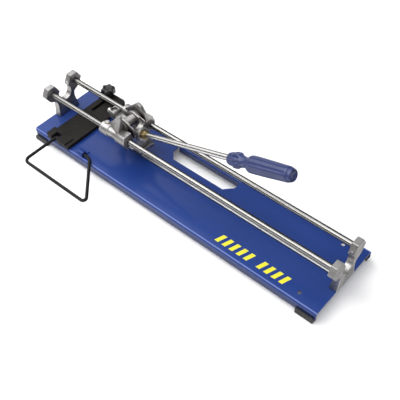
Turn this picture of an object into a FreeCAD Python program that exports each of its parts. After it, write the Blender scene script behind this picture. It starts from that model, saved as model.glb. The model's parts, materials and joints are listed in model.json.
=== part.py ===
import FreeCAD, Part
import math
import os
import re
import Sketcher

# Manual two-rail tile cutter.
# Frame: +X along the bed from the fence end to the user's end, +Y across the bed,
# +Z up.  The origin is the middle of the bed's length and width, on the plane that
# the four feet stand on.  Millimetres and degrees.
# Boxes are written as (low X, high X, low Y, high Y, low Z, high Z).

DIMENSIONS = {
    # bed
    "bed_length": 520, "bed_width": 124, "bed_level": 20, "sheet_gauge": 2,
    "skirt_bottom": 6.5, "bend_radius": 3, "end_radius": 6,
    "hole_reach": 226, "hole_offset": 48, "hole_radius": 2.75,
    "slot_bend": 2.4, "slot_near": 23, "slot_far": 48, "slot_shoulder": 35.5,
    "slot_left": -48, "slot_left_end": -60, "slot_right": 44, "slot_right_end": 56,
    # feet
    "foot_inset": 2, "foot_length": 27, "foot_inner": 58, "foot_outer": 64.5,
    "foot_top": 11, "foot_edge": 1,
    # rails and end brackets
    "rail_radius": 4, "rail_offset": 22.3, "rail_level": 65.5, "rail_end": 259.5,
    "left_inset": 3, "bracket_outer": 261, "bracket_plate": 9.5, "bracket_inner": 249.3,
    "bracket_half": 20, "bracket_foot": 4, "waist_half": 16.5, "waist_level": 42,
    "neck_half": 18, "neck_level": 48, "ankle_half": 17.5, "ankle_level": 32,
    "head_half": 13, "head_flat": 6.5, "head_rise": 11.5, "saddle_radius": 12, "saddle_level": 55,
    "bolt_radius": 3, "bolt_spread": 11, "bolt_x": 254.5, "bolt_head_radius": 5,
    "bolt_head": 4, "bolt_grip": 12, "grub_radius": 2.5, "grub_start": 9.5,
    "dimple_radius": 1.9, "dimple_depth": 3, "dimple_level": 38,
    # breaking rib
    "rib_half": 2, "rib_top": 23, "rib_left": -179.5, "rib_right": 240, "rib_round": 1.5,
    # fence
    "fence_face": -182, "fence_back": -226, "fence_near": -62, "fence_far": 63,
    "fence_top": 26, "lug_back": -229, "lug_face": -188, "lug_inner": -44, "lug_top": 28,
    "lug_corner": 2, "notch_back": 4, "notch_front": 7, "notch_end": 5, "pin_seat": 1,
    "track_half": 3.2, "track_start": 18, "track_floor": 21, "track_wide": 5.8,
    "track_overrun": 2, "chip_relief": 0.6, "track_step": 23.6, "screw_radius": 2, "screw_head_radius": 3.8,
    "screw_head": 2.4, "screw_top": 24.5, "screw_left": -216, "screw_right": -192,
    "screw_near": -36, "screw_mid": 8,
    # side stop and its knob
    "stop_near": 45, "stop_centre": 55, "stop_top": 31, "stop_bolt_x": -213.5,
    "stop_radius": 3, "stop_gap": 0.2, "stop_corner": 8, "stop_edge": 1,
    "stop_head_radius": 5.2, "stop_head_bottom": 21.2, "stop_head_top": 23.2,
    "stop_bolt_top": 42.5, "knob_bottom": 31.3, "knob_step": 34.5, "knob_top": 47.5,
    "knob_lobe_top": 46.5, "knob_bore_top": 43.5, "knob_stem": 5.5, "knob_core": 8.8,
    "knob_lobe": 3.4, "knob_circle": 8.1,
    # support wire
    "wire_radius": 2.4, "wire_level": 23.2, "wire_hinge": -55, "wire_left": -214,
    "wire_outer": -118, "wire_right": -82, "wire_bend": 9, "wire_tight_bend": 4.5,
    "wire_easy_bend": 18, "wire_pin_end": -190, "wire_tail": -166, "wire_shoulder": -142,
    "saddle_left": -164.5, "saddle_right": -154, "running_gap": 0.05, "clip_radius": 5,
    "clip_half": 4, "clip_flange": 1.6, "clip_reach": 11,
    # carriage
    "sleeve_left": -138, "sleeve_right": -88.5, "boss_radius": 9.8, "waist_radius": 8.4,
    "boss_length": 15, "boss_extra": 3, "bush_radius": 5.5, "bush_length": 12,
    "flange_radius": 7.2, "bush_lip": 1.5, "cheek_inner": 15.5, "cheek_outer": 20.5,
    "cheek_foot": 68, "cheek_left": -128, "cheek_right": -90, "cheek_peak": 100.3,
    "peak_front": -103, "peak_back": -107, "buttress_face": -101.5, "buttress_outer": 28.5,
    "toe_left": -99, "toe_inner": 16, "toe_outer": 31, "toe_top": 64, "toe_tip": 25,
    "toe_bottom": 50, "land_left": -101.5, "land_inner": 14.8, "land_outer": 29.8, "land_top": 75.8,
    "lug_radius": 3.4, "oil_lug_top": 78, "oil_lug_y": 20.5, "pivot_x": -108,
    "pivot_level": 76, "pivot_radius": 4, "pivot_head": 6.5, "pivot_head_length": 4,
    "pivot_tip": 20, "washer_face": 21.7, "washer_gap": 0.5, "washer_radius": 6.2,
    "disc_radius": 10, "spotface_radius": 12, "web_left": -113.5, "web_right": -104.5, "web_bottom": 48,
    "web_top": 56, "gusset_reach": 9, "gusset_bottom": 51, "gusset_inner": 13.5,
    "gusset_outer": 18,
    # lever
    "lever_angle": 18.6, "lever_x": -67, "lever_level": 72, "rod_radius": 4,
    "rod_start": -24, "rod_end": 176, "nut_start": -12.4, "nut_length": 6,
    "nut_radius": 6.6, "nut_collar": 5.2, "nut_collar_length": 2, "tail_start": -30,
    "tail_end": -13, "tail_radius": 8, "rim_start": -26, "rim_radius": 10,
    "handle_start": 150.9, "handle_length": 100.7, "plug_radius": 5.6,
    "plug_depth": 3.4, "plug_recess": 0.5, "hub_radius": 11.5, "hub_core": 7.5, "hub_half": 11.8,
    "nose_left": -142, "nose_right": -130, "nose_half": 6.5, "nose_bottom": 70,
    "nose_top": 84, "nose_round": 2.5, "arm_half": 5.5, "arm_bottom": 70, "arm_top": 77,
    "yoke_left": -95, "yoke_right": -87, "yoke_bottom": 60, "yoke_top": 82,
    "yoke_round": 5, "yoke_dip": 10.5, "side_plate": 3.5,
    # scoring wheel
    "wheel_x": -136, "wheel_level": 46, "wheel_radius": 7, "wheel_half": 0.8,
    "wheel_face": 5.4, "axle_radius": 1.5, "axle_half": 5.2, "fork_half": 4.5,
    "fork_gap": 1.2, "fork_reach": 5, "fork_bottom": 43, "fork_top": 58,
    "fork_round": 2, "fork_slit_top": 54, "stem_radius": 3.5, "stem_top": 80, "recess_radius": 4.6,
    "clamp_level": 76, "clamp_start": -145, "clamp_head": 4, "clamp_head_start": -148,
    "clamp_head_end": -144, "clamp_depth": 1,
    # breaker foot
    "breaker_x": -84, "breaker_level": 52, "pin_radius": 2, "pin_half": 9,
    "ear_inner": 5, "ear_outer": 8, "ear_radius": 4.5, "ear_reach": 4, "ear_top": 62,
    "ear_gap": 0.4, "gap_reach": 7, "gap_bottom": 44, "gap_top": 57,
    "tongue_half": 4.8, "tongue_reach": 3.8, "breaker_half": 14,
    "breaker_left": -91, "breaker_right": -75, "breaker_base": 42, "breaker_edge": 45,
    "breaker_ridge": 47, "breaker_bottom": 40, "pad_inner": 5,
}

ORIGIN = FreeCAD.Vector()
X_AXIS = FreeCAD.Vector(1, 0, 0)
Y_AXIS = FreeCAD.Vector(0, 1, 0)
Z_AXIS = FreeCAD.Vector(0, 0, 1)
TURN_TO = {
    "x": FreeCAD.Rotation(Y_AXIS, 90),
    "y": FreeCAD.Rotation(X_AXIS, -90),
    "z": FreeCAD.Rotation(),
}
SIDES = {"near": -1, "far": 1}
ENDS = {"left": -1, "right": 1}
# Handle outline from its guard to its end: distance along the axis, radius.
HANDLE_PROFILE = [
    (0, 6.5), (1.5, 9), (5, 10.1), (18, 10.1), (22, 9), (25, 7.2), (30, 7.2),
    (36, 9.6), (42, 11.3), (60, 11.2), (92, 10), (97.5, 9), (100.7, 7),
]

doc = FreeCAD.newDocument("tile_cutter")
sheet = doc.addObject("Spreadsheet::Sheet", "Dims")
for row, (alias, value) in enumerate(DIMENSIONS.items(), start=1):
    sheet.set("A%d" % row, str(value))
    sheet.setAlias("A%d" % row, alias)
doc.recompute()

nodes = []


# ---------------------------------------------------------------- shared builders

def bound(formula):
    """A formula with every dimension's name pointed at the sheet."""
    return re.sub(r"\b[a-z]+(?:_[a-z]+)+\b", lambda found: "Dims." + found.group(), str(formula))


def number(formula):
    """The value that a formula has now."""
    return float(sheet.evalExpression(bound(formula)))


def place(item, x, y, z):
    """Bind where an item's own origin stands."""
    for axis, where in zip("xyz", (x, y, z)):
        item.setExpression("Placement.Base." + axis, bound(where))


def at_end(end, reach):
    """A distance from the middle towards one end; the left end's fittings stand further in."""
    return reach if end > 0 else "-(%s) + left_inset" % reach


def block(x_low, x_high, y_low, y_high, z_low, z_high):
    """A box between two corners."""
    item = doc.addObject("Part::Box", "Block")
    for prop, low, high in (("Length", x_low, x_high), ("Width", y_low, y_high), ("Height", z_low, z_high)):
        item.setExpression(prop, bound("(%s) - (%s)" % (high, low)))
    place(item, x_low, y_low, z_low)
    return item


def round_bar(axis, radius, start, end, first, second):
    """A cylinder along an axis, from start to end, centred on the other two coordinates."""
    item = doc.addObject("Part::Cylinder", "Bar")
    item.Placement = FreeCAD.Placement(ORIGIN, TURN_TO[axis])
    item.setExpression("Radius", bound(radius))
    item.setExpression("Height", bound("(%s) - (%s)" % (end, start)))
    where = {"x": (start, first, second), "y": (first, start, second), "z": (first, second, start)}
    place(item, *where[axis])
    return item


def taper(axis, radius_low, radius_high, start, end, first, second):
    """A cone along an axis, from start to end."""
    item = doc.addObject("Part::Cone", "Taper")
    item.Placement = FreeCAD.Placement(ORIGIN, TURN_TO[axis])
    item.setExpression("Radius1", bound(radius_low))
    item.setExpression("Radius2", bound(radius_high))
    item.setExpression("Height", bound("(%s) - (%s)" % (end, start)))
    where = {"x": (start, first, second), "y": (first, start, second), "z": (first, second, start)}
    place(item, *where[axis])
    return item


def lever_bar(radius, start, end, sides=0):
    """A bar or prism on the lever's sloping axis, from start to end along it."""
    kind = "Part::Prism" if sides else "Part::Cylinder"
    item = doc.addObject(kind, "LeverBar")
    item.Placement = FreeCAD.Placement(ORIGIN, FreeCAD.Rotation(Y_AXIS, 90))
    item.setExpression("Placement.Rotation.Angle", bound("90deg - lever_angle * 1deg"))
    if sides:
        item.Polygon = sides
        item.setExpression("Circumradius", bound(radius))
    else:
        item.setExpression("Radius", bound(radius))
    item.setExpression("Height", bound("(%s) - (%s)" % (end, start)))
    place(item, "lever_x + (%s) * cos(lever_angle * 1deg)" % start, 0,
          "lever_level + (%s) * sin(lever_angle * 1deg)" % start)
    return item


def join(*items):
    """Several overlapping items as one solid."""
    item = doc.addObject("Part::MultiFuse", "Join")
    item.Shapes = list(items)
    item.Refine = True
    return item


def cut(base, *tools):
    """An item with others taken out of it."""
    item = doc.addObject("Part::Cut", "Cut")
    item.Base = base
    item.Tool = tools[0] if len(tools) == 1 else join(*tools)
    item.Refine = True
    return item


def group(*items):
    """Separate solids kept together as one sub-part."""
    item = doc.addObject("Part::Compound", "Group")
    item.Links = list(items)
    return item


def mirror(item, normal):
    """An item reflected through the plane at the origin with this normal."""
    copy = doc.addObject("Part::Mirroring", "Mirror")
    copy.Source = item
    copy.Normal = normal
    return copy


def round_edges(item, radius, wanted):
    """An item with the edges that the test picks rounded."""
    doc.recompute()
    rounded = doc.addObject("Part::Fillet", "Rounded")
    rounded.Base = item
    picked = [i for i, edge in enumerate(item.Shape.Edges, start=1) if wanted(edge)]
    rounded.Edges = [(i, number(radius), number(radius)) for i in picked]
    return rounded


def runs_along(edge, axis):
    """Whether an edge is a straight line along an axis."""
    first, last = edge.Vertexes[0].Point, edge.Vertexes[-1].Point
    step = last - first
    return step.Length > 0 and abs(abs(step.normalize() * axis) - 1) < 1e-6


def add_outline(body, role, points, level):
    """A closed sketch on one of a body's origin planes, every corner bound to the sheet."""
    sketch = body.newObject("Sketcher::SketchObject", "Outline")
    planes = [plane for plane in body.Origin.OriginFeatures if plane.Role == role]
    sketch.AttachmentSupport = [(planes[0], "")]
    sketch.MapMode = "FlatFace"
    sketch.setExpression("AttachmentOffset.Base.z", bound(level))
    corners = [FreeCAD.Vector(number(u), number(v), 0) for u, v in points]
    count = len(points)
    for i in range(count):
        sketch.addGeometry(Part.LineSegment(corners[i], corners[(i + 1) % count]))
    for i in range(count):
        sketch.addConstraint(Sketcher.Constraint("Coincident", i, 2, (i + 1) % count, 1))
    for i, (u, v) in enumerate(points):
        for kind, formula in (("DistanceX", u), ("DistanceY", v)):
            constraint = Sketcher.Constraint(kind, -1, 1, i, 1, number(formula))
            index = sketch.addConstraint(constraint)
            sketch.setExpression("Constraints[%d]" % index, bound(formula))
    return sketch


def padded(role, points, level, length, both_ways=False):
    """A body made by padding an outline from a level."""
    body = doc.addObject("PartDesign::Body", "Body")
    pad = body.newObject("PartDesign::Pad", "Pad")
    pad.Profile = add_outline(body, role, points, level)
    pad.SideType = "Symmetric" if both_ways else "One side"
    pad.setExpression("Length", bound(length))
    body.Tip = pad
    return body


def lofted(role, first, first_level, last, last_level):
    """A body with flat sides between two outlines at two levels."""
    body = doc.addObject("PartDesign::Body", "Body")
    loft = body.newObject("PartDesign::AdditiveLoft", "Loft")
    loft.Profile = add_outline(body, role, first, first_level)
    loft.Sections = [add_outline(body, role, last, last_level)]
    loft.Ruled = True
    body.Tip = loft
    return body


def keep(name, item):
    """Name a finished sub-part and list it for export."""
    item.Label = name
    nodes.append(item)
    return item


# ---------------------------------------------------------------- base

def make_base_plate():
    tray = block("-bed_length / 2", "bed_length / 2", "-bed_width / 2", "bed_width / 2",
                 "skirt_bottom", "bed_level")

    def at_left_corner(edge):
        return runs_along(edge, Z_AXIS) and edge.CenterOfMass.x < 0

    def at_top_rim(edge):
        centre = edge.CenterOfMass
        return centre.z > number("bed_level - 0.01") and centre.x < number("bed_length / 2 - 0.01")

    tray = round_edges(tray, "end_radius", at_left_corner)
    tray = round_edges(tray, "bend_radius", at_top_rim)
    hollow = block("-bed_length / 2 + sheet_gauge", "bed_length", "-bed_width / 2 + sheet_gauge",
                   "bed_width / 2 - sheet_gauge", 0, "bed_level - sheet_gauge")
    hollow = round_edges(hollow, "end_radius - sheet_gauge", at_left_corner)
    slot = padded("XY_Plane", [
        ("slot_left", "slot_near"), ("slot_right", "slot_near"),
        ("slot_right_end", "slot_shoulder"), ("slot_right_end", "slot_far"),
        ("slot_left_end", "slot_far"), ("slot_left_end", "slot_shoulder"),
    ], "skirt_bottom", "bed_level")
    lip = block("slot_left_end", "slot_right_end", "slot_far", "slot_far + sheet_gauge",
                "skirt_bottom + sheet_gauge", "bed_level")
    holes = [
        round_bar("z", "hole_radius", 0, "2 * bed_level", "hole_reach", "%d * hole_offset" % side)
        for side in SIDES.values()
    ]
    bolt_holes = [
        round_bar("z", "bolt_radius", 0, "2 * bed_level", at_end(end, "bolt_x"), "%d * bolt_spread" % side)
        for end in ENDS.values() for side in SIDES.values()
    ]
    screw_holes = [
        round_bar("z", "screw_radius", 0, "2 * bed_level", x, y)
        for x in ("screw_left", "screw_right") for y in ("screw_near", "screw_mid")
    ]
    shell = cut(tray, hollow, slot, *holes, *bolt_holes, *screw_holes)
    corner = block("slot_left_end", "slot_right_end", "slot_far", "slot_far + slot_bend",
                   "bed_level - slot_bend", "bed_level")
    bend = round_bar("x", "slot_bend", "slot_left_end", "slot_right_end",
                     "slot_far + slot_bend", "bed_level - slot_bend")
    keep("base_plate", cut(join(shell, lip), cut(corner, bend)))


def make_feet():
    skirt_outer = "bed_width / 2"
    for side_name, side in SIDES.items():
        for end_name, end in ENDS.items():
            low, high = ("-bed_length / 2 + foot_inset", "-bed_length / 2 + foot_inset + foot_length")
            if end > 0:
                low, high = ("bed_length / 2 - foot_inset - foot_length", "bed_length / 2 - foot_inset")
            pad = block(low, high, "foot_inner", "foot_outer", 0, "foot_top")
            pad = round_edges(pad, "foot_edge", lambda edge: True)
            skirt = block("-bed_length", "bed_length", skirt_outer + " - sheet_gauge", skirt_outer,
                          "skirt_bottom", "2 * foot_top")
            if end < 0:
                end_skirt = block("-bed_length / 2", "-bed_length / 2 + end_radius", 0, "bed_width",
                                  "skirt_bottom", "2 * foot_top")
                skirt = join(skirt, end_skirt)
            foot = cut(pad, skirt)
            if side < 0:
                foot = mirror(foot, Y_AXIS)
            keep("foot_%s_%s" % (side_name, end_name), foot)


def bracket_outline():
    """The right half of a bracket's plate, from the middle of its saddle round to its foot."""
    inner = "rail_offset - head_half"
    outer = "rail_offset + head_half"
    return [
        (0, "saddle_level - saddle_radius"), (inner, "rail_level"),
        ("rail_offset - head_flat", "rail_level + head_rise"),
        ("rail_offset + head_flat", "rail_level + head_rise"), (outer, "rail_level"),
        ("rail_offset + head_flat", "rail_level - head_rise"),
        ("neck_half", "neck_level"), ("waist_half", "waist_level"),
        ("ankle_half", "ankle_level"), ("bracket_half", "bed_level"), (0, "bed_level"),
    ]


def make_brackets():
    inner_face = "bracket_outer - bracket_plate"
    beyond = "bracket_inner - 1"
    top = "rail_level + head_half"
    halves = []
    for side in SIDES.values():
        points = bracket_outline()
        if side < 0:
            points = [("-(%s)" % y, z) for y, z in reversed(points)]
        halves.append(padded("YZ_Plane", points, "bracket_inner", "bracket_outer - bracket_inner"))
    slope = padded("XZ_Plane", [
        (beyond, "bed_level + bracket_foot"), ("bracket_inner", "bed_level + bracket_foot"),
        (inner_face, "waist_level"), (inner_face, top), (beyond, top),
    ], 0, "bed_width", True)
    saddle = round_bar("x", "saddle_radius", 0, "bed_length", 0, "saddle_level")
    bores = [
        round_bar("x", "rail_radius", 0, "rail_end", "%d * rail_offset" % side, "rail_level")
        for side in SIDES.values()
    ]
    grub_holes = [
        round_bar("y", "grub_radius", low, high, "bracket_outer - bracket_plate / 2", "rail_level")
        for low, high in (("-rail_offset", 0), (0, "rail_offset"))
    ]
    dimple = round_bar("x", "dimple_radius", "bracket_outer - dimple_depth", "bed_length", 0, "dimple_level")
    bolt_holes = [
        round_bar("z", "bolt_radius", 0, "bed_level + bolt_grip", "bolt_x", "%d * bolt_spread" % side)
        for side in SIDES.values()
    ]
    casting = cut(join(*halves), slope, saddle, *bores, *grub_holes, dimple, *bolt_holes)
    keep("rail_bracket_right", casting)
    reflected = keep("rail_bracket_left", mirror(casting, X_AXIS))
    reflected.setExpression("Placement.Base.x", bound("left_inset"))


def make_bracket_bolts():
    under = "bed_level - sheet_gauge"
    bolts = []
    for end in ENDS.values():
        for side in SIDES.values():
            x = at_end(end, "bolt_x")
            y = "%d * bolt_spread" % side
            shank = round_bar("z", "bolt_radius", under, "bed_level + bolt_grip", x, y)
            head = round_bar("z", "bolt_head_radius", under + " - bolt_head", under, x, y)
            bolts.append(join(shank, head))
    keep("bracket_bolts", group(*bolts))


def make_rails():
    for name, side in SIDES.items():
        rail = round_bar("x", "rail_radius", at_end(-1, "rail_end"), at_end(1, "rail_end"),
                         "%d * rail_offset" % side, "rail_level")
        keep("rail_" + name, rail)


def make_grub_screws():
    tip = "rail_offset - rail_radius"
    screws = []
    for end in ENDS.values():
        x = at_end(end, "bracket_outer - bracket_plate / 2")
        for low, high in (("-(%s)" % tip, "-grub_start"), ("grub_start", tip)):
            screws.append(round_bar("y", "grub_radius", low, high, x, "rail_level"))
    keep("rail_grub_screws", group(*screws))


def make_rib():
    bar = block("rib_left", "rib_right", "-rib_half", "rib_half", "bed_level", "rib_top")

    def on_top(edge):
        return runs_along(edge, X_AXIS) and edge.CenterOfMass.z > number("rib_top - 0.01")

    keep("breaker_rib", round_edges(bar, "rib_round", on_top))


def make_fence():
    bar = block("fence_back", "fence_face", "fence_near", "fence_far", "bed_level", "fence_top")

    def at_far_face_corner(edge):
        return runs_along(edge, Z_AXIS) and edge.CenterOfMass.x > number("fence_face - 1") \
            and edge.CenterOfMass.y > 0

    bar = round_edges(bar, "stop_corner", at_far_face_corner)
    lug = block("lug_back", "lug_face", "fence_near", "lug_inner", "bed_level", "lug_top")
    lug = round_edges(lug, "lug_corner", lambda edge: runs_along(edge, Z_AXIS))
    notch = block("wire_left - notch_back", "wire_left + notch_front", "2 * fence_near",
                  "wire_hinge + notch_end", 0, "2 * lug_top")
    pin_hole = round_bar("x", "wire_radius + running_gap", "wire_left", "wire_pin_end + pin_seat",
                         "wire_hinge", "wire_level")
    track = block("stop_bolt_x - track_half", "stop_bolt_x + track_half", "track_start",
                  "2 * fence_far", "track_floor", "2 * fence_top")
    recess = block("stop_bolt_x - track_wide", "stop_bolt_x + track_wide", "track_start - track_overrun",
                   "2 * fence_far", "track_floor", "track_step")
    chip_groove = block("fence_face - chip_relief", "fence_face + chip_relief", "2 * fence_near",
                        "2 * fence_far", 0, "bed_level + chip_relief")
    screw_holes = [
        round_bar("z", "screw_radius", 0, "screw_top", x, y)
        for x in ("screw_left", "screw_right") for y in ("screw_near", "screw_mid")
    ]
    tools = [notch, pin_hole, track, recess, chip_groove, *screw_holes]
    keep("fence_bar", cut(join(bar, lug), *tools))


def make_fence_screws():
    under = "bed_level - sheet_gauge"
    screws = []
    for x in ("screw_left", "screw_right"):
        for y in ("screw_near", "screw_mid"):
            shank = round_bar("z", "screw_radius", under, "screw_top", x, y)
            head = round_bar("z", "screw_head_radius", under + " - screw_head", under, x, y)
            screws.append(join(shank, head))
    keep("fence_screws", group(*screws))


def make_wire_saddle():
    x_low, x_high = "saddle_left", "saddle_right"
    loop = round_bar("x", "clip_radius", x_low, x_high, "wire_hinge", "wire_level")
    flange = block(x_low, x_high, "wire_hinge - clip_half", "wire_hinge + clip_reach",
                   "bed_level", "bed_level + clip_flange")
    trim = block("-bed_length", 0, "-bed_width", 0, 0, "bed_level")
    bore = round_bar("x", "wire_radius + running_gap", "-bed_length", 0, "wire_hinge", "wire_level")
    keep("wire_saddle", cut(join(loop, flange), trim, bore))


# ---------------------------------------------------------------- side stop

def make_side_stop():
    plate = block("fence_back", "fence_face", "stop_near", "fence_far", "fence_top + stop_gap", "stop_top")

    def at_far_face_corner(edge):
        return runs_along(edge, Z_AXIS) and edge.CenterOfMass.x > number("fence_face - 1") \
            and edge.CenterOfMass.y > number("stop_centre")

    def on_top(edge):
        return edge.CenterOfMass.z > number("stop_top - 0.01")

    plate = round_edges(plate, "stop_corner", at_far_face_corner)
    plate = round_edges(plate, "stop_edge", on_top)
    hole = round_bar("z", "stop_radius", "fence_top", "2 * stop_top", "stop_bolt_x", "stop_centre")
    keep("side_stop", cut(plate, hole))

    shank = round_bar("z", "stop_radius", "stop_head_bottom", "stop_bolt_top", "stop_bolt_x", "stop_centre")
    head = round_bar("z", "stop_head_radius", "stop_head_bottom", "stop_head_top",
                     "stop_bolt_x", "stop_centre")
    keep("stop_bolt", join(shank, head))


def make_clamp_knob():
    centre = ("stop_bolt_x", "stop_centre")
    stem = round_bar("z", "knob_stem", "knob_bottom", "knob_step", *centre)
    core = round_bar("z", "knob_core", "knob_step", "knob_top", *centre)
    lobes = []
    lobe_count = 6
    for i in range(lobe_count):
        angle = "%g * 1deg" % (i * 360 / lobe_count)
        x = "stop_bolt_x + knob_circle * cos(%s)" % angle
        y = "stop_centre + knob_circle * sin(%s)" % angle
        lobes.append(round_bar("z", "knob_lobe", "knob_step", "knob_lobe_top", x, y))
    bore = round_bar("z", "stop_radius + running_gap", 0, "knob_bore_top", *centre)
    keep("clamp_knob", cut(join(stem, core, *lobes), bore))


# ---------------------------------------------------------------- support wire

def rounded_path(points, radii):
    """Straight runs through the points, joined by arcs of the given radii."""
    edges = []
    start = points[0]
    for before, corner, after, radius in zip(points, points[1:], points[2:], radii):
        back = (before - corner).normalize()
        onward = (after - corner).normalize()
        half_angle = back.getAngle(onward) / 2
        reach = radius / math.tan(half_angle)
        arc_start = corner + back * reach
        arc_end = corner + onward * reach
        inward = (back + onward).normalize()
        arc_middle = corner + inward * (radius / math.sin(half_angle) - radius)
        edges.append(Part.makeLine(start, arc_start))
        edges.append(Part.Arc(arc_start, arc_middle, arc_end).toShape())
        start = arc_end
    edges.append(Part.makeLine(start, points[-1]))
    return Part.Wire(edges)


def make_support_wire():
    level = number("wire_level")
    hinge = number("wire_hinge")
    left = number("wire_left")
    outer = number("wire_outer")
    tight = number("wire_tight_bend")
    corners = [
        (number("wire_pin_end"), hinge), (left, hinge), (left, outer), (number("wire_right"), outer),
        (number("wire_shoulder"), hinge), (number("wire_tail"), hinge),
    ]
    points = [FreeCAD.Vector(x, y, level) for x, y in corners]
    path = rounded_path(points, [tight, number("wire_bend"), tight, number("wire_easy_bend")])
    section = Part.Wire(Part.makeCircle(number("wire_radius"), points[0], points[1] - points[0]))
    bail = doc.addObject("Part::Feature", "Bail")
    bail.Shape = path.makePipeShell([section], True, False)
    bail.Placement = FreeCAD.Placement()
    keep("support_wire", bail)


# ---------------------------------------------------------------- carriage

def near_cheek_outline():
    """The near cheek seen from the side: a triangle with its peak over the pivot."""
    return [
        ("cheek_left", "cheek_foot"), ("buttress_face", "cheek_foot"), ("buttress_face", "pivot_level"),
        ("peak_front", "cheek_peak"), ("peak_back", "cheek_peak - 0.6"),
        ("pivot_x - 11", "pivot_level + 9.5"), ("cheek_left + 2", "pivot_level + 2"),
    ]


def far_cheek_outline():
    """The far cheek seen from the side: a low front, a peak over the pivot, a sloping back."""
    return [
        ("cheek_left", "cheek_foot"), ("cheek_right", "cheek_foot"), ("cheek_right", "cheek_foot + 14"),
        ("pivot_x + 15.5", "pivot_level + 12.5"), ("pivot_x + 10", "pivot_level + 21.5"),
        ("pivot_x + 5", "pivot_level + 24.3"), ("pivot_x + 1", "pivot_level + 23"),
        ("pivot_x - 11", "pivot_level + 12"), ("cheek_left + 2", "pivot_level + 6"),
    ]


def make_carriage_body():
    sleeves = []
    cheeks = []
    for side in SIDES.values():
        y = "%d * rail_offset" % side
        sleeves += [
            round_bar("x", "waist_radius", "sleeve_left + 2", "sleeve_right - 2", y, "rail_level"),
            round_bar("x", "boss_radius", "sleeve_left", "sleeve_left + boss_length", y, "rail_level"),
            round_bar("x", "boss_radius", "sleeve_right - boss_length - boss_extra", "sleeve_right",
                      y, "rail_level"),
        ]
        outline = near_cheek_outline() if side < 0 else far_cheek_outline()
        middle = "%d * (cheek_inner + cheek_outer) / 2" % -side
        thickness = "cheek_outer - cheek_inner"
        cheeks.append(padded("XZ_Plane", outline, middle, thickness, both_ways=True))
        low, high = ("land_inner", "land_outer") if side > 0 else ("-land_outer", "-land_inner")
        sleeves.append(block("land_left", "sleeve_right", low, high, "rail_level", "land_top"))
        sleeves.append(round_bar("z", "lug_radius", "rail_level + bush_radius + 1", "oil_lug_top",
                                 "sleeve_left + boss_length / 2", "%d * oil_lug_y" % side))
        toe = [("%d * toe_inner" % side, "toe_top"), ("%d * toe_outer" % side, "toe_top"),
               ("%d * toe_tip" % side, "toe_bottom")]
        sleeves.append(padded("YZ_Plane", toe, "toe_left", "sleeve_right - toe_left"))
    buttress = lofted(
        "YZ_Plane",
        [("-cheek_inner", "cheek_foot"), ("-cheek_outer", "cheek_foot"),
         ("-cheek_outer + 1", "pivot_level"), ("-cheek_inner", "pivot_level + 1")],
        "cheek_left + 2",
        [("-cheek_inner", "cheek_foot"), ("-buttress_outer", "cheek_foot"),
         ("-buttress_outer", "pivot_level"), ("-cheek_inner - 2.5", "cheek_peak")],
        "buttress_face")
    web = block("web_left", "web_right", "-rail_offset", "rail_offset", "web_bottom", "web_top")
    gussets = [
        block("web_left - gusset_reach", "web_right + gusset_reach", low, high,
              "gusset_bottom", "rail_level")
        for low, high in (("-gusset_outer", "-gusset_inner"), ("gusset_inner", "gusset_outer"))
    ]
    bores = [
        round_bar("x", "bush_radius", "-bed_length", 0, "%d * rail_offset" % side, "rail_level")
        for side in SIDES.values()
    ]
    pivot_hole = round_bar("y", "pivot_radius", "-pivot_tip", "bed_width", "pivot_x", "pivot_level")
    spotface = round_bar("y", "spotface_radius", "-cheek_inner", "cheek_inner", "pivot_x", "pivot_level")
    head_room = round_bar("y", "pivot_head + washer_gap", "cheek_outer", "bed_width",
                          "pivot_x", "pivot_level")
    tools = [*bores, pivot_hole, spotface, head_room]
    keep("carriage_body", cut(join(*sleeves, *cheeks, buttress, web, *gussets), *tools))


def make_bushes():
    spans = {
        "left": (("sleeve_left", "sleeve_left + bush_length"),
                 ("sleeve_left - bush_lip", "sleeve_left")),
        "right": (("sleeve_right - bush_length", "sleeve_right"),
                  ("sleeve_right", "sleeve_right + bush_lip")),
    }
    for side_name, side in SIDES.items():
        y = "%d * rail_offset" % side
        for end_name, (inside, outside) in spans.items():
            tube = round_bar("x", "bush_radius", *inside, y, "rail_level")
            lip = round_bar("x", "flange_radius", *outside, y, "rail_level")
            bore = round_bar("x", "rail_radius + running_gap", "-bed_length", 0, y, "rail_level")
            keep("bush_%s_%s" % (side_name, end_name), cut(join(tube, lip), bore))


def make_pivot():
    x, z = "pivot_x", "pivot_level"
    shank = round_bar("y", "pivot_radius", "-pivot_tip", "washer_face", x, z)
    head = hexagon("pivot_head", "pivot_head_length", "washer_face")
    keep("pivot_bolt", join(shank, head))
    keep("pivot_washer", pivot_ring("washer_radius", "cheek_outer", "washer_face"))
    near_disc = pivot_ring("disc_radius", "-cheek_inner", "-hub_half - stop_gap")
    far_disc = pivot_ring("disc_radius", "hub_half + stop_gap", "cheek_inner")
    keep("friction_discs", group(near_disc, far_disc))


def hexagon(radius, length, start):
    """A six-sided head on the pivot's axis."""
    item = doc.addObject("Part::Prism", "Hexagon")
    item.Polygon = 6
    item.Placement = FreeCAD.Placement(ORIGIN, TURN_TO["y"])
    item.setExpression("Circumradius", bound(radius))
    item.setExpression("Height", bound(length))
    place(item, "pivot_x", start, "pivot_level")
    return item


def pivot_ring(radius, low, high):
    """A ring round the pivot."""
    hole = round_bar("y", "pivot_radius", "-bed_width", "bed_width", "pivot_x", "pivot_level")
    return cut(round_bar("y", radius, low, high, "pivot_x", "pivot_level"), hole)


# ---------------------------------------------------------------- lever

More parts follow.
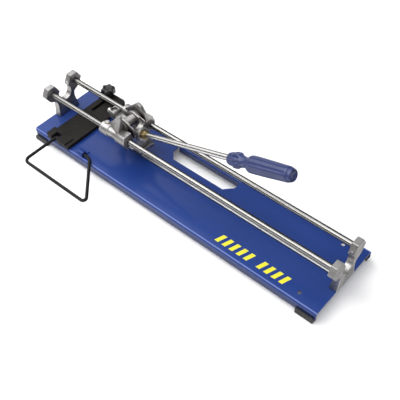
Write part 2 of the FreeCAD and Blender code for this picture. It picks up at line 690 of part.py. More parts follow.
def make_lever_block():
    hub = [round_bar("y", "hub_core", "-hub_half", "hub_half", "pivot_x", "pivot_level")]
    for low, high in (("-hub_half", "-hub_half + side_plate"), ("hub_half - side_plate", "hub_half")):
        hub.append(round_bar("y", "hub_radius", low, high, "pivot_x", "pivot_level"))
    nose = block("nose_left", "nose_right", "-nose_half", "nose_half", "nose_bottom", "nose_top")
    nose = round_edges(nose, "nose_round", lambda edge: runs_along(edge, Y_AXIS))
    arm = block("nose_right - nose_round - 1", "pivot_x", "-arm_half", "arm_half", "arm_bottom", "arm_top")
    tail = lever_bar("tail_radius", "tail_start", "tail_end")
    rim = lever_bar("rim_radius", "rim_start", "tail_end")

    def at_yoke_bottom(edge):
        return runs_along(edge, X_AXIS) and edge.CenterOfMass.z < number("pivot_level")

    yoke = block("yoke_left", "yoke_right", "-hub_half", "hub_half", "yoke_bottom", "yoke_top")
    yoke = round_edges(yoke, "yoke_round", at_yoke_bottom)
    dip = round_bar("x", "yoke_dip", "yoke_left - 1", "yoke_right + 1", 0, "yoke_top + 1")
    plates = []
    ears = []
    for side in SIDES.values():
        plates.append(padded("XZ_Plane", [
            ("pivot_x", "pivot_level - hub_radius"), ("yoke_right - 1", "yoke_bottom + yoke_round"),
            ("yoke_right - 1", "yoke_top"), ("pivot_x", "pivot_level + hub_radius"),
        ], "%d * (hub_half - side_plate / 2)" % side, "side_plate", both_ways=True))
        low, high = ("ear_inner", "ear_outer") if side > 0 else ("-ear_outer", "-ear_inner")
        ears.append(round_bar("y", "ear_radius", low, high, "breaker_x", "breaker_level"))
        ears.append(block("breaker_x - ear_reach", "breaker_x + ear_reach", low, high,
                          "breaker_level", "ear_top"))
    tools = [
        dip,
        lever_bar("rod_radius", "rod_start", "0"),
        round_bar("y", "pivot_radius + running_gap", "-bed_width", "bed_width", "pivot_x", "pivot_level"),
        round_bar("y", "pin_radius", "-bed_width", "bed_width", "breaker_x", "breaker_level"),
        round_bar("z", "stem_radius", 0, "stem_top", "wheel_x", 0),
        round_bar("z", "recess_radius", "stem_top", "2 * nose_top", "wheel_x", 0),
        round_bar("x", "screw_radius", "nose_left - 1", "wheel_x", 0, "clamp_level"),
        block("breaker_x - gap_reach", "breaker_x + gap_reach", "-ear_inner", "ear_inner",
              "gap_bottom", "gap_top"),
    ]
    keep("lever_block", cut(join(*hub, nose, arm, tail, rim, yoke, *plates, *ears), *tools))


def make_lever_rod():
    keep("lever_rod", lever_bar("rod_radius", "rod_start", "rod_end"))
    nut_end = "nut_start + nut_length"
    nut = lever_bar("nut_radius", "nut_start", nut_end, sides=6)
    collar = lever_bar("nut_collar", nut_end, nut_end + " + nut_collar_length")
    keep("lock_nut", cut(join(nut, collar), lever_bar("rod_radius", "rod_start", "rod_end")))


def make_handle():
    body = doc.addObject("PartDesign::Body", "HandleBody")
    outline = [(0, 0)] + [(radius, along) for along, radius in HANDLE_PROFILE] + [(0, "handle_length")]
    sketch = add_outline(body, "XZ_Plane", outline, 0)
    revolution = body.newObject("PartDesign::Revolution", "Turned")
    revolution.Profile = sketch
    revolution.ReferenceAxis = (sketch, ["V_Axis"])
    revolution.Angle = 360
    body.Tip = revolution
    body.Placement = FreeCAD.Placement(ORIGIN, FreeCAD.Rotation(Y_AXIS, 90))
    body.setExpression("Placement.Rotation.Angle", bound("90deg - lever_angle * 1deg"))
    place(body, "lever_x + handle_start * cos(lever_angle * 1deg)", 0,
          "lever_level + handle_start * sin(lever_angle * 1deg)")
    rod_hole = lever_bar("rod_radius", "rod_start", "rod_end")
    end = "handle_start + handle_length"
    socket = lever_bar("plug_radius", end + " - plug_depth", end + " + 1")
    keep("handle", cut(body, rod_hole, socket))
    keep("handle_plug", lever_bar("plug_radius", end + " - plug_depth", end + " - plug_recess"))


# ---------------------------------------------------------------- scoring wheel

def make_wheel_parts():
    x, z = "wheel_x", "wheel_level"
    fork = block("wheel_x - fork_reach", "wheel_x + fork_reach", "-fork_half", "fork_half",
                 "fork_bottom", "fork_top")
    fork = round_edges(fork, "fork_round", lambda edge: runs_along(edge, Y_AXIS))
    stem = round_bar("z", "stem_radius", "fork_top - 1", "stem_top", x, 0)
    slit = block("wheel_x - 2 * fork_reach", "wheel_x + 2 * fork_reach", "-fork_gap", "fork_gap",
                 0, "fork_slit_top")
    hole = round_bar("y", "axle_radius", "-bed_width", "bed_width", x, z)
    screw_tip = "wheel_x - stem_radius + clamp_depth"
    screw_seat = round_bar("x", "screw_radius", "-bed_length", screw_tip, 0, "clamp_level")
    keep("wheel_holder", cut(join(fork, stem), slit, hole, screw_seat))

    screw = round_bar("x", "screw_radius", "clamp_start", screw_tip, 0, "clamp_level")
    head = round_bar("x", "clamp_head", "clamp_head_start", "clamp_head_end", 0, "clamp_level")
    keep("wheel_clamp_screw", join(screw, head))
    keep("wheel_axle", round_bar("y", "axle_radius", "-axle_half", "axle_half", x, z))

    near_half = taper("y", "wheel_face", "wheel_radius", "-wheel_half", "0", x, z)
    far_half = taper("y", "wheel_radius", "wheel_face", "0", "wheel_half", x, z)
    bore = round_bar("y", "axle_radius + running_gap", "-bed_width", "bed_width", x, z)
    keep("cutting_wheel", cut(join(near_half, far_half), bore))


# ---------------------------------------------------------------- breaker foot

def make_breaker():
    x, z = "breaker_x", "breaker_level"
    plate = padded("YZ_Plane", [
        ("-breaker_half", "breaker_base"), ("breaker_half", "breaker_base"),
        ("breaker_half", "breaker_edge"), ("tongue_half", "breaker_ridge"),
        ("-tongue_half", "breaker_ridge"), ("-breaker_half", "breaker_edge"),
    ], "breaker_left", "breaker_right - breaker_left")
    tongue = block("breaker_x - tongue_reach", "breaker_x + tongue_reach", "-tongue_half", "tongue_half",
                   "breaker_edge", z)
    eye = round_bar("y", "tongue_reach", "-tongue_half", "tongue_half", x, z)
    bore = round_bar("y", "pin_radius + running_gap", "-bed_width", "bed_width", x, z)
    ear_room = [
        round_bar("y", "ear_radius + ear_gap", low, high, x, z)
        for low, high in (("-ear_outer - ear_gap", "-tongue_half"), ("tongue_half", "ear_outer + ear_gap"))
    ]
    keep("breaker_foot", cut(join(plate, tongue, eye), bore, *ear_room))
    keep("breaker_pin", round_bar("y", "pin_radius", "-pin_half", "pin_half", x, z))
    pads = [
        block("breaker_left", "breaker_right", low, high, "breaker_bottom", "breaker_base")
        for low, high in (("-breaker_half", "-pad_inner"), ("pad_inner", "breaker_half"))
    ]
    keep("breaker_pads", group(*pads))


# ---------------------------------------------------------------- build and write

def check_and_write():
    doc.recompute()
    for item in doc.Objects:
        bad = {"Invalid", "Error"} & set(item.State)
        if bad:
            raise RuntimeError("%s (%s) is %s" % (item.Label, item.Name, sorted(bad)))
    for item in nodes:
        shape = item.Shape
        if shape.isNull() or not shape.isValid() or not shape.Solids:
            raise RuntimeError("%s has no sound shape" % item.Label)
    os.makedirs("parts", exist_ok=True)
    for item in nodes:
        item.Shape.exportStep(os.path.join("parts", item.Label + ".step"))
        box = item.Shape.BoundBox
        print("%-20s solids %d  volume %9.1f  X %7.1f..%6.1f  Y %7.1f..%6.1f  Z %6.1f..%6.1f" % (
            item.Label, len(item.Shape.Solids), item.Shape.Volume,
            box.XMin, box.XMax, box.YMin, box.YMax, box.ZMin, box.ZMax))


make_base_plate()
make_feet()
make_brackets()
make_bracket_bolts()
make_rails()
make_grub_screws()
make_rib()
make_fence()
make_fence_screws()
make_wire_saddle()
make_side_stop()
make_clamp_knob()
make_support_wire()
make_carriage_body()
make_bushes()
make_pivot()
make_lever_block()
make_lever_rod()
make_handle()
make_wheel_parts()
make_breaker()
check_and_write()
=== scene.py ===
"""Looks for the manual tile cutter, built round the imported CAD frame. Metres, same frame as the CAD."""

import json
import math

import bmesh
import bpy
from mathutils import Matrix, Vector


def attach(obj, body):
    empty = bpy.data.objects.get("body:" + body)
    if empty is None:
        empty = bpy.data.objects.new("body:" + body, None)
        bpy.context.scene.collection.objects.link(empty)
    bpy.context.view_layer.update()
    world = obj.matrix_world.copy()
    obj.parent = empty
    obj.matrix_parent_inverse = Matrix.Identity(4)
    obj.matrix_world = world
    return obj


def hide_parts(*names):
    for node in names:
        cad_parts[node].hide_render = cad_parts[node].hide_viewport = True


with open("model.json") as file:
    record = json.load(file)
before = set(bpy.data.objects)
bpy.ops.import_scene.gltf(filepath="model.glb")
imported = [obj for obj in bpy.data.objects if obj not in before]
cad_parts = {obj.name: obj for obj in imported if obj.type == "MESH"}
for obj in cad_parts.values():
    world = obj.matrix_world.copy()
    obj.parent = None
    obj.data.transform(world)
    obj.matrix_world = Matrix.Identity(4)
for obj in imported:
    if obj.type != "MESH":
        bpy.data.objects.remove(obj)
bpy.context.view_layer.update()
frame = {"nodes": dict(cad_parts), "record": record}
NODES = frame["nodes"]
MM = 0.001
LEVER_ANGLE = math.radians(18.6)
WELD_DISTANCE = 0.000002
FLAT_ANGLE = math.radians(0.5)
ROUND_ANGLE = math.radians(35)
CREASE_ANGLE = math.radians(50)


# ---------------------------------------------------------------- camera, floor, light

CAMERA_AT = (0.46225, -0.47242, 0.73765)
AZIMUTH, ELEVATION, ROLL = (math.radians(a) for a in (42.985, 48.738, -2.734))
LENS = 62.465
SENSOR_WIDTH = 36
CLIP_START = 0.01


def add_camera():
    """The standing camera: above the bed's near right corner, looking down over it."""
    level = math.cos(ELEVATION)
    ahead = Vector((-math.sin(AZIMUTH) * level, math.cos(AZIMUTH) * level, -math.sin(ELEVATION)))
    side = Vector((math.cos(AZIMUTH), math.sin(AZIMUTH), 0))
    up = side.cross(ahead)
    right = side * math.cos(ROLL) + up * math.sin(ROLL)
    above = up * math.cos(ROLL) - side * math.sin(ROLL)
    data = bpy.data.cameras.new("Camera")
    data.lens = LENS
    data.sensor_width = SENSOR_WIDTH
    data.clip_start = CLIP_START
    camera = bpy.data.objects.new("Camera", data)
    axes = Matrix((right, above, -ahead)).transposed()
    camera.matrix_world = Matrix.Translation(CAMERA_AT) @ axes.to_4x4()
    bpy.context.scene.collection.objects.link(camera)
    bpy.context.scene.camera = camera


# name, place, aim, width, height, power in watts
AREA_LIGHTS = [
    ("Key", (-1.0, 0.1, 1.0), (0, 0, 0.03), 1.3, 1.3, 7),
    ("Top", (0.05, -0.3, 1.5), (0, 0, 0), 2.3, 2.3, 32),
    ("Strip", (-0.62, -0.61, 1.15), (-0.62, -0.06, 0.02), 1.6, 0.3, 6),
]
# The surroundings fade from the left to the right, and again towards the back.
# axis of the direction, where the fade starts and ends on it, brightness there
SKY_FADES = (("X", -0.75, 0.0, 1.1, 0.42), ("Y", 0.45, 0.75, 1.0, 0.12))
# height of the direction, brightness there
SKY_GREYS = [(0.0, 0.10), (0.35, 0.16), (0.60, 0.35), (0.80, 0.60), (1.0, 0.60)]
SKY_BLUE = 1.02
FLOOR_REACH = 30
FLOOR_LEVEL = -0.0003


def add_area_light(name, at, aim, width, height, power):
    """A soft rectangular light at a place, facing its aim."""
    data = bpy.data.lights.new(name, "AREA")
    data.shape = "RECTANGLE"
    data.size, data.size_y = width, height
    data.energy = power
    light = bpy.data.objects.new(name, data)
    light.location = at
    light.rotation_euler = (Vector(aim) - Vector(at)).to_track_quat("-Z", "Y").to_euler()
    bpy.context.scene.collection.objects.link(light)


def add_floor():
    mesh = bpy.data.meshes.new("Floor")
    reach = FLOOR_REACH
    corners = [(-reach, -reach, 0), (reach, -reach, 0), (reach, reach, 0), (-reach, reach, 0)]
    mesh.from_pydata(corners, [], [(0, 1, 2, 3)])
    floor = bpy.data.objects.new("Floor", mesh)
    floor.location.z = FLOOR_LEVEL
    bpy.context.scene.collection.objects.link(floor)
    paper = Look("studio_paper", Roughness=0.9, Emission_Color=(1, 1, 1, 1), Emission_Strength=0.10)
    paper.colour(paper.noise(3, 2), [(0.3, (0.90, 0.90, 0.90)), (0.7, (0.93, 0.93, 0.93))])
    mesh.materials.append(paper.material)


def add_sky():
    """Surroundings brighter on the left and dark behind the object, grey by height."""
    world = bpy.data.worlds.new("Studio")
    bpy.context.scene.world = world
    world.use_nodes = True
    tree = world.node_tree
    coords = tree.nodes.new("ShaderNodeTexCoord")
    split = tree.nodes.new("ShaderNodeSeparateXYZ")
    ramp = tree.nodes.new("ShaderNodeValToRGB")
    both = tree.nodes.new("ShaderNodeMath")
    both.operation = "MULTIPLY"
    tree.links.new(coords.outputs["Generated"], split.inputs[0])
    tree.links.new(split.outputs["Z"], ramp.inputs[0])
    for index, (axis, start, end, first, last) in enumerate(SKY_FADES):
        fade = tree.nodes.new("ShaderNodeMapRange")
        tree.links.new(split.outputs[axis], fade.inputs["Value"])
        for key, value in (("From Min", start), ("From Max", end), ("To Min", first), ("To Max", last)):
            fade.inputs[key].default_value = value
        tree.links.new(fade.outputs[0], both.inputs[index])
    tree.links.new(both.outputs[0], tree.nodes["Background"].inputs[1])
    tree.links.new(ramp.outputs[0], tree.nodes["Background"].inputs[0])
    set_stops(ramp.color_ramp, [(at, (grey, grey, grey * SKY_BLUE)) for at, grey in SKY_GREYS])


# ---------------------------------------------------------------- materials

def set_stops(ramp, stops):
    """Colour stops of a ramp: position and colour."""
    while len(ramp.elements) < len(stops):
        ramp.elements.new(1.0)
    for element, (at, colour) in zip(ramp.elements, stops):
        element.position = at
        element.color = (*colour, 1)


class Look:
    """A procedural material: one Principled shader, with noise in its colour, roughness and height."""

    def __init__(self, name, **inputs):
        self.material = bpy.data.materials.new(name)
        self.material.use_nodes = True
        self.tree = self.material.node_tree
        self.shader = self.tree.nodes["Principled BSDF"]
        for key, value in inputs.items():
            self.shader.inputs[key.replace("_", " ")].default_value = value
        self.where = self.tree.nodes.new("ShaderNodeTexCoord").outputs["Object"]
        self.last_normal = None

    def node(self, kind, sockets=None, **settings):
        made = self.tree.nodes.new(kind)
        for key, value in settings.items():
            setattr(made, key, value)
        for key, value in (sockets or {}).items():
            if isinstance(value, bpy.types.NodeSocket):
                self.tree.links.new(value, made.inputs[key])
            else:
                made.inputs[key].default_value = value
        return made

    def stretched(self, scale, turn):
        """Object coordinates scaled unevenly, for marks that run one way."""
        mapping = self.node("ShaderNodeMapping", {"Vector": self.where, "Scale": scale, "Rotation": turn})
        return mapping.outputs[0]

    def noise(self, scale, detail, vector=None):
        sockets = {"Vector": vector or self.where, "Scale": scale, "Detail": detail, "Roughness": 0.5}
        return self.node("ShaderNodeTexNoise", sockets).outputs["Fac"]

    def cells(self, scale):
        sockets = {"Vector": self.where, "Scale": scale}
        return self.node("ShaderNodeTexVoronoi", sockets).outputs["Distance"]

    def hollows(self, reach):
        """0 in deep hollows, 1 in the open, so that hollows can be painted darker as painted shade."""
        made = self.node("ShaderNodeAmbientOcclusion", {"Distance": reach * MM}, samples=8)
        return self.spread(made.outputs["AO"], 0.25, 0.75, 0.0, 1.0)

    def ramp(self, factor, stops):
        made = self.node("ShaderNodeValToRGB", {"Fac": factor})
        set_stops(made.color_ramp, stops)
        return made.outputs[0]

    def math(self, kind, first, second=0.5):
        return self.node("ShaderNodeMath", {0: first, 1: second}, operation=kind).outputs[0]

    def spread(self, factor, low, high, out_low, out_high):
        """A factor between low and high moved to between out_low and out_high."""
        sockets = {"Value": factor, "From Min": low, "From Max": high, "To Min": out_low, "To Max": out_high}
        return self.node("ShaderNodeMapRange", sockets).outputs[0]

    def colour(self, factor, stops):
        self.tree.links.new(self.ramp(factor, stops), self.shader.inputs["Base Color"])

    def blend(self, factor, first, second, kind="MIX"):
        made = self.node("ShaderNodeMix", data_type="RGBA", blend_type=kind)
        for socket, value in ((made.inputs[0], factor), (made.inputs[6], first), (made.inputs[7], second)):
            if isinstance(value, bpy.types.NodeSocket):
                self.tree.links.new(value, socket)
            elif isinstance(value, tuple):
                socket.default_value = (*value, 1)
            else:
                socket.default_value = value
        return made.outputs[2]

    def paint(self, output):
        self.tree.links.new(output, self.shader.inputs["Base Color"])

    def rough(self, factor, low, high):
        self.tree.links.new(self.spread(factor, 0.3, 0.7, low, high), self.shader.inputs["Roughness"])

    def bump(self, height, distance, strength):
        """Adds height, in metres, on top of any bump already there."""
        sockets = {"Height": height, "Distance": distance, "Strength": strength}
        if self.last_normal:
            sockets["Normal"] = self.last_normal
        self.last_normal = self.node("ShaderNodeBump", sockets).outputs[0]
        self.tree.links.new(self.last_normal, self.shader.inputs["Normal"])


# The print on the bed: slanted bars in two groups. Millimetres along the bed for the groups and the pitch,
# across it for the band and its middle, and above the floor for the level.
PRINT_GROUPS = ((95, 154), (163, 209))
PRINT_BAND = (-52, -38)
PRINT_MIDDLE = -45
PRINT_LEVEL = 19.5
BAR_PITCH = 11.8
BAR_SHARE = 0.52
BAR_SLANT = 0.35


def print_mask(look):
    """1 where the printed bars are, on the bed's top only."""
    split = look.node("ShaderNodeSeparateXYZ", {0: look.where})
    x, y, z = split.outputs
    slid = look.math("SUBTRACT", y, PRINT_MIDDLE * MM)
    slid = look.math("SUBTRACT", x, look.math("MULTIPLY", slid, BAR_SLANT))
    mask = look.math("GREATER_THAN", z, PRINT_LEVEL * MM)
    mask = look.math("MULTIPLY", mask, look.math("GREATER_THAN", y, PRINT_BAND[0] * MM))
    mask = look.math("MULTIPLY", mask, look.math("LESS_THAN", y, PRINT_BAND[1] * MM))
    bars = 0.0
    for start, end in PRINT_GROUPS:
        inside = look.math("MULTIPLY", look.math("GREATER_THAN", slid, start * MM),
                           look.math("LESS_THAN", slid, end * MM))
        step = look.math("DIVIDE", look.math("SUBTRACT", slid, start * MM), BAR_PITCH * MM)
        bar = look.math("LESS_THAN", look.math("FRACT", step), BAR_SHARE)
        bars = look.math("ADD", bars, look.math("MULTIPLY", inside, bar))
    return look.math("MULTIPLY", mask, bars)


# The pressed bends along the bed: millimetres out from the middle, and height.
BEND_FROM, BEND_TO = 58.6, 61.0
BEND_FADE_IN, BEND_FADE_OUT = 0.8, 0.6
BEND_LEVEL = 17.5
SKIRT_FADE = 3
BEND_STRENGTH = 0.8


def skirt_mask(look):
    """1 on the skirts below the bends, painted darker to stand for their shade."""
    z = look.node("ShaderNodeSeparateXYZ", {0: look.where}).outputs[2]
    return look.spread(z, BEND_LEVEL * MM, (BEND_LEVEL - SKIRT_FADE) * MM, 0.0, 1.0)


def rim_mask(look):
    """1 along the top of the two long bends, painted pale to stand for their highlight."""
    split = look.node("ShaderNodeSeparateXYZ", {0: look.where})
    out = look.math("ABSOLUTE", split.outputs[1])
    above = look.math("GREATER_THAN", split.outputs[2], BEND_LEVEL * MM)
    begins = look.spread(out, BEND_FROM * MM, (BEND_FROM + BEND_FADE_IN) * MM, 0.0, 1.0)
    ends = look.spread(out, BEND_TO * MM, (BEND_TO - BEND_FADE_OUT) * MM, 0.0, 1.0)
    return look.math("MULTIPLY", above, look.math("MULTIPLY", begins, ends))


def make_bed_paint(name, marked):
    look = Look(name, Coat_Weight=0.3, Coat_Roughness=0.14, Specular_IOR_Level=0.15)
    tone = look.ramp(look.noise(9, 3), [(0.3, (0.012, 0.038, 0.190)), (0.7, (0.016, 0.046, 0.215))])
    specks = look.ramp(look.cells(900), [(0.0, (0.10, 0.13, 0.28)), (0.05, (0, 0, 0))])
    tone = look.blend(0.12, tone, specks, "ADD")
    if marked:
        tone = look.blend(print_mask(look), tone, (0.80, 0.74, 0.05))
        tone = look.blend(skirt_mask(look), tone, (0.007, 0.020, 0.105))
        tone = look.blend(look.math("MULTIPLY", rim_mask(look), BEND_STRENGTH), tone, (0.13, 0.18, 0.46))
    look.paint(tone)
    look.rough(look.noise(24, 2), 0.31, 0.38)
    look.bump(look.noise(420, 2), 0.00002, 0.2)
    look.bump(look.noise(14, 1), 0.0006, 0.12)
    return look.material


def make_casting(name="die_casting", dark=(0.30, 0.29, 0.285), light=(0.50, 0.49, 0.48)):
    look = Look(name, Metallic=1.0, Specular_Tint=(0.55, 0.55, 0.56, 1))
    tone = look.ramp(look.noise(60, 4), [(0.3, dark), (0.7, light)])
    pits = look.ramp(look.cells(1500), [(0.0, (0.45, 0.45, 0.45)), (0.16, (1, 1, 1))])
    tone = look.blend(0.5, tone, pits, "MULTIPLY")
    # painted shade: the hollows are painted dark brown where ambient occlusion finds little open sky
    look.paint(look.blend(look.hollows(14), (0.050, 0.040, 0.034), tone))
    look.rough(look.noise(220, 3), 0.34, 0.50)
    look.bump(look.noise(1300, 3), 0.00012, 0.5)
    look.bump(look.noise(170, 2), 0.0004, 0.25)
    return look.material


def make_chrome(name, base, roughness, tint, turn=(0, 0, 0)):
    look = Look(name, Metallic=1.0, Specular_Tint=(tint, tint, tint, 1))
    lines = look.noise(1.0, 2, vector=look.stretched((900, 60, 60), turn))
    look.colour(lines, [(0.2, tuple(c * 0.94 for c in base)), (0.8, base)])
    look.rough(look.noise(90, 3), roughness, roughness * 1.8)
    look.bump(lines, 0.000004, 0.15)
    return look.material


def make_steel():
    look = Look("zinc_steel", Metallic=1.0, Specular_Tint=(0.6, 0.6, 0.6, 1))
    look.colour(look.noise(300, 3), [(0.3, (0.44, 0.44, 0.45)), (0.7, (0.66, 0.66, 0.67))])
    look.rough(look.noise(500, 2), 0.26, 0.42)
    look.bump(look.noise(900, 2), 0.00006, 0.4)
    return look.material


def make_plastic(name, dark, light, low, high, grain, coat=0.0, shine=0.5):
    look = Look(name, Coat_Weight=coat, Coat_Roughness=0.1, Specular_IOR_Level=shine)
    look.colour(look.noise(45, 3), [(0.3, dark), (0.7, light)])
    look.rough(look.noise(260, 3), low, high)
    look.bump(look.noise(grain, 3), 0.00008, 0.45)
    return look.material


def make_brass():
    look = Look("dull_brass", Metallic=1.0, Specular_Tint=(0.8, 0.75, 0.6, 1))
    look.colour(look.noise(260, 4), [(0.3, (0.27, 0.21, 0.10)), (0.7, (0.44, 0.35, 0.18))])
    look.rough(look.noise(400, 3), 0.24, 0.42)
    look.bump(look.noise(900, 2), 0.00005, 0.4)
    return look.material


# Plastics and rubbers: dark and light tone, least and most roughness, scale of the grain.
PLASTICS = {
    "foot_rubber": ((0.008, 0.008, 0.009), (0.018, 0.018, 0.020), 0.5, 0.7, 1100),
    "knob_plastic": ((0.006, 0.006, 0.006), (0.016, 0.016, 0.016), 0.25, 0.4, 1200),
    "bush_plastic": ((0.06, 0.055, 0.05), (0.10, 0.095, 0.09), 0.4, 0.55, 1000),
    "plug_plastic": ((0.024, 0.036, 0.120), (0.036, 0.050, 0.160), 0.3, 0.45, 900),
    "pad_rubber": ((0.010, 0.010, 0.010), (0.022, 0.022, 0.022), 0.55, 0.75, 900),
}


def make_looks():
    looks = {name: make_plastic(name, *values) for name, values in PLASTICS.items()}
    looks.update({
        "bed_paint": make_bed_paint("bed_enamel", True),
        "saddle_paint": make_bed_paint("saddle_enamel", False),
        "casting": make_casting(),
        "rail_chrome": make_chrome("rail_chrome", (0.30, 0.295, 0.285), 0.18, 0.10),
        "rod_chrome": make_chrome("rod_chrome", (0.62, 0.61, 0.60), 0.18, 0.2, (0, LEVER_ANGLE, 0)),
        "fastener_steel": make_steel(),
        "rib_metal": make_casting("rolled_aluminium", (0.50, 0.50, 0.51), (0.62, 0.62, 0.63)),
        "fence_black": make_plastic(
            "fence_black", (0.008, 0.007, 0.006), (0.016, 0.014, 0.013), 0.50, 0.64, 700, shine=0.18
        ),
        "wire_black": make_plastic(
            "dipped_black", (0.003, 0.003, 0.003), (0.006, 0.006, 0.006), 0.34, 0.48, 240, shine=0.25
        ),
        "nut_brass": make_brass(),
        "handle_plastic": make_plastic(
            "handle_plastic", (0.022, 0.034, 0.115), (0.032, 0.046, 0.150), 0.30, 0.42, 520, coat=0.1
        ),
        "carbide": make_chrome("carbide", (0.45, 0.45, 0.47), 0.2, 0.6),
    })
    return looks


# ---------------------------------------------------------------- shared mesh builders

def new_piece(name, mesh, body, slot, replaced):
    """A finished mesh in place of CAD nodes, riding on a body."""
    piece = bpy.data.objects.new(name, mesh)
    bpy.context.scene.collection.objects.link(piece)
    mesh.materials.clear()
    mesh.materials.append(LOOKS[slot])
    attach(piece, body)
    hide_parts(*replaced)


def soften(node, width):
    """Rounds a CAD node's sharp edges with modifiers: the mesh itself stays as packed."""
    piece = NODES[node]
    weld = piece.modifiers.new("Weld", "WELD")
    weld.merge_threshold = WELD_DISTANCE
    flat = piece.modifiers.new("Flat", "DECIMATE")
    flat.decimate_type = "DISSOLVE"
    flat.angle_limit = FLAT_ANGLE
    bevel = piece.modifiers.new("Round", "BEVEL")
    bevel.width = width * MM
    bevel.segments = 2
    bevel.limit_method = "ANGLE"
    bevel.angle_limit = ROUND_ANGLE
    bevel.use_clamp_overlap = True
    even = piece.modifiers.new("Even", "WEIGHTED_NORMAL")
    even.keep_sharp = False
    even.weight = 80


def cast_copy(node, body, voxel, smoothing, name):
    """A casting: the node's solid remade with soft edges, from voxels of a size in millimetres."""
    work = bpy.data.objects.new("Work", NODES[node].data.copy())
    bpy.context.scene.collection.objects.link(work)
    weld = work.modifiers.new("Weld", "WELD")
    weld.merge_threshold = WELD_DISTANCE
    remesh = work.modifiers.new("Remesh", "REMESH")
    remesh.mode = "VOXEL"
    remesh.voxel_size = voxel * MM
    smooth = work.modifiers.new("Smooth", "SMOOTH")
    smooth.factor = 0.5
    smooth.iterations = smoothing
    bpy.context.view_layer.update()
    graph = bpy.context.evaluated_depsgraph_get()
    mesh = bpy.data.meshes.new_from_object(work.evaluated_get(graph))
    bpy.data.objects.remove(work)
    mesh.polygons.foreach_set("use_smooth", [True] * len(mesh.polygons))
    new_piece(name, mesh, body, "casting", (node,))


def ring_surface(rings, closed=True):
    """A mesh through rings of points, each ring with the same count, with its ends closed or open."""
    made = bmesh.new()
    loops = [[made.verts.new(point) for point in ring] for ring in rings]
    count = len(loops[0])
    for near, far in zip(loops, loops[1:]):
        for i in range(count):
            j = (i + 1) % count
            made.faces.new((near[i], near[j], far[j], far[i]))
    if closed:
        made.faces.new(loops[0])
        made.faces.new(loops[-1])
    bmesh.ops.recalc_face_normals(made, faces=made.faces)
    mesh = bpy.data.meshes.new("Rings")
    made.to_mesh(mesh)
    made.free()
    mesh.polygons.foreach_set("use_smooth", [True] * len(mesh.polygons))
    mesh.set_sharp_from_angle(angle=CREASE_ANGLE)
    return mesh


# ---------------------------------------------------------------- handle

LEVER_FROM = Vector((-67, 0, 72)) * MM
LEVER_WAY = Vector((math.cos(LEVER_ANGLE), 0, math.sin(LEVER_ANGLE)))
LEVER_UP = Vector((-math.sin(LEVER_ANGLE), 0, math.cos(LEVER_ANGLE)))
LEVER_SIDE = Vector((0, 1, 0))


def lever_point(along, radius, angle):
    """A point round the lever's axis: millimetres along it and out from it."""
    out = LEVER_SIDE * math.cos(angle) + LEVER_UP * math.sin(angle)
    return LEVER_FROM + (LEVER_WAY * along + out * radius) * MM


HANDLE_START = 150.9
# along, radius, depth of the guard's scallops, depth of the grip's flutes
HANDLE_RINGS = [
    (0.0, 4.2, 0, 0), (0.0, 5.6, 0, 0), (0.5, 7.0, 0.1, 0), (1.4, 8.0, 0.4, 0), (2.8, 8.6, 0.8, 0),
    (5.5, 8.9, 1.0, 0), (8.0, 9.1, 1.2, 0), (9.2, 9.9, 1.7, 0), (10.2, 10.4, 2.2, 0),
    (11.6, 10.6, 2.5, 0), (14.0, 10.65, 2.6, 0), (16.6, 10.6, 2.5, 0), (18.0, 10.3, 2.1, 0),
    (19.2, 9.5, 1.4, 0), (20.2, 8.6, 0.7, 0), (21.8, 7.8, 0.2, 0), (24.4, 7.3, 0, 0),
    (27.0, 7.1, 0, 0), (29.6, 7.2, 0, 0), (31.4, 7.9, 0, 0), (33.2, 9.2, 0, 0.1),
    (35.0, 10.4, 0, 0.3), (36.8, 11.1, 0, 0.5), (39.0, 11.4, 0, 0.6), (43.0, 11.45, 0, 0.6),
    (54.0, 11.3, 0, 0.6), (62.0, 11.1, 0, 0.6), (70.0, 10.85, 0, 0.6), (78.0, 10.6, 0, 0.6),
    (85.0, 10.35, 0, 0.55), (90.0, 10.2, 0, 0.4), (93.5, 10.1, 0, 0.2), (94.8, 9.7, 0, 0),
    (95.3, 8.9, 0, 0), (96.0, 8.9, 0, 0), (96.6, 9.2, 0, 0), (98.6, 8.6, 0, 0), (99.8, 8.1, 0, 0),
    (100.4, 7.6, 0, 0), (100.6, 7.3, 0, 0), (100.4, 7.0, 0, 0), (99.8, 6.9, 0, 0),
    (98.9, 6.8, 0, 0), (98.7, 6.6, 0, 0), (98.7, 5.9, 0, 0), (98.4, 5.65, 0, 0), (97.6, 5.62, 0, 0),
]
HANDLE_STEPS = 160
SCALLOPS = 8
FLUTES = 8
# along, radius
PLUG_RINGS = [(97.4, 5.5), (99.7, 5.5), (100.0, 5.3), (100.0, 4.7), (99.5, 4.3), (98.9, 3.0), (98.7, 1.2)]
PLUG_STEPS = 64


def lathe(point, outline, steps=96):
    """A round mesh: point(along, radius, angle) for each ring of the outline."""
    return ring_surface([
        [point(along, radius, 2 * math.pi * i / steps) for i in range(steps)]
        for along, radius in outline
    ])


def make_handle():
    rings = []
    for along, radius, scallop, flute in HANDLE_RINGS:
        ring = []
        for i in range(HANDLE_STEPS):
            angle = 2 * math.pi * i / HANDLE_STEPS
            dip = 1 - abs(math.cos(SCALLOPS * angle / 2)) ** 0.8
            groove = max(0.0, math.cos(FLUTES * angle)) ** 0.7
            ring.append(lever_point(HANDLE_START + along, radius - scallop * dip - flute * groove, angle))
        rings.append(ring)
    new_piece("handle_grip", ring_surface(rings, closed=False), "lever", "handle_plastic", ("handle",))


def make_handle_plug():
    """The plug in the handle's end: a dished disc with a raised lip."""
    outline = [(HANDLE_START + along, radius) for along, radius in PLUG_RINGS]
    mesh = lathe(lever_point, outline, PLUG_STEPS)
    new_piece("handle_end_plug", mesh, "lever", "plug_plastic", ("handle_plug",))


# ---------------------------------------------------------------- rails and lever rod

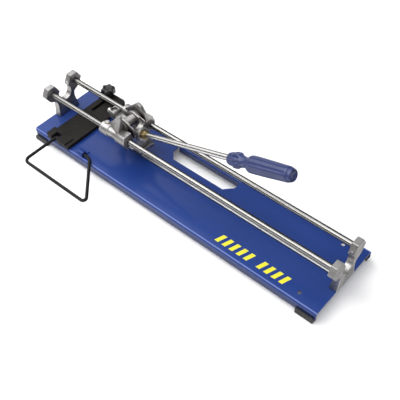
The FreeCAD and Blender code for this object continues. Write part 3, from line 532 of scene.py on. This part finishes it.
BAR_RADIUS = 4
BAR_CHAMFER = 0.4
BAR_RINGS_APART = 12
RAIL_OFFSET = 22.3
RAIL_LEVEL = 65.5
RAIL_FROM, RAIL_TO = -256.5, 259.5
ROD_FROM, ROD_TO = -24, 176


def bar_outline(start, end):
    """A plain bar with chamfered ends, ringed often enough for its bump to sit evenly."""
    count = round((end - start) / BAR_RINGS_APART)
    plain = end - start - 2 * BAR_CHAMFER
    middle = [(start + BAR_CHAMFER + plain * i / count, BAR_RADIUS) for i in range(count + 1)]
    tip = BAR_RADIUS - BAR_CHAMFER
    return [(start, tip), *middle, (end, tip)]


def make_bars():
    for name, side in (("rail_near", -1), ("rail_far", 1)):
        centre = Vector((0, side * RAIL_OFFSET, RAIL_LEVEL)) * MM

        def rail_point(along, radius, angle, centre=centre):
            out = Vector((0, math.cos(angle), math.sin(angle)))
            return centre + (Vector((along, 0, 0)) + out * radius) * MM

        mesh = lathe(rail_point, bar_outline(RAIL_FROM, RAIL_TO))
        new_piece(name + "_bar", mesh, "base", "rail_chrome", (name,))
    mesh = lathe(lever_point, bar_outline(ROD_FROM, ROD_TO))
    new_piece("lever_rod_bar", mesh, "lever", "rod_chrome", ("lever_rod",))


# ---------------------------------------------------------------- clamp knob

KNOB_AT = Vector((-213.5, 55, 0)) * MM
# height, radius, how far the lobes stand out
KNOB_RINGS = [
    (31.3, 3.3, 0), (31.3, 5.3, 0), (31.7, 5.5, 0), (33.6, 5.6, 0.1), (34.3, 6.4, 0.5),
    (34.6, 8.4, 1.0), (35.2, 9.6, 1.4), (36.4, 9.9, 1.6), (43.5, 9.9, 1.6), (45.3, 9.7, 1.5),
    (46.6, 9.0, 1.2), (47.3, 7.8, 0.8), (47.45, 6.6, 0.4), (47.3, 5.6, 0.1), (46.9, 4.9, 0),
    (46.7, 3.6, 0), (46.8, 1.6, 0), (46.85, 0.4, 0),
]
KNOB_STEPS = 96
KNOB_LOBES = 6
# how deep the hollows between the lobes are, against how far the lobes stand out
HOLLOW_SHARE = 0.8


def make_knob():
    rings = []
    for height, radius, lobe in KNOB_RINGS:
        ring = []
        for i in range(KNOB_STEPS):
            angle = 2 * math.pi * i / KNOB_STEPS
            swell = math.cos(KNOB_LOBES * angle)
            reach = (radius + lobe * (swell if swell > 0 else swell * HOLLOW_SHARE)) * MM
            ring.append(KNOB_AT + Vector((reach * math.cos(angle), reach * math.sin(angle), height * MM)))
        rings.append(ring)
    new_piece("star_knob", ring_surface(rings), "knob", "knob_plastic", ("clamp_knob",))


# ---------------------------------------------------------------- build

# node, body, voxel in millimetres, rounds of smoothing, name of the piece
CASTINGS = [
    ("rail_bracket_right", "base", 0.55, 5, "end_bracket_right"),
    ("rail_bracket_left", "base", 0.55, 5, "end_bracket_left"),
    ("carriage_body", "carriage", 0.5, 5, "carriage_casting"),
    ("lever_block", "lever", 0.4, 5, "lever_casting"),
    ("breaker_foot", "foot", 0.3, 4, "breaker_casting"),
]
# node: width of its rounded edges in millimetres
SOFTENED = {
    "foot_near_left": 0.8, "foot_near_right": 0.8, "foot_far_left": 0.8, "foot_far_right": 0.8,
    "base_plate": 0.35, "fence_bar": 0.4, "side_stop": 0.3, "wire_saddle": 0.4,
    "bracket_bolts": 0.4, "breaker_rib": 0.2,
    "pivot_bolt": 0.4, "pivot_washer": 0.15, "lock_nut": 0.4,
    "wheel_holder": 0.3, "wheel_clamp_screw": 0.4, "breaker_pads": 0.3,
    "rail_grub_screws": 0.2, "stop_bolt": 0.3, "fence_screws": 0.3,
}

add_floor()
add_sky()
for light in AREA_LIGHTS:
    add_area_light(*light)
LOOKS = make_looks()
for subpart in frame["record"]["subparts"]:
    node = NODES[subpart["node"]]
    node.material_slots[0].material = LOOKS[subpart["material_slot"]]

for casting in CASTINGS:
    cast_copy(*casting)
make_handle()
make_handle_plug()
make_knob()
make_bars()
for node_name, width in SOFTENED.items():
    soften(node_name, width)
add_camera()

VIEW = bpy.context.scene.view_settings
VIEW.view_transform = "Standard"
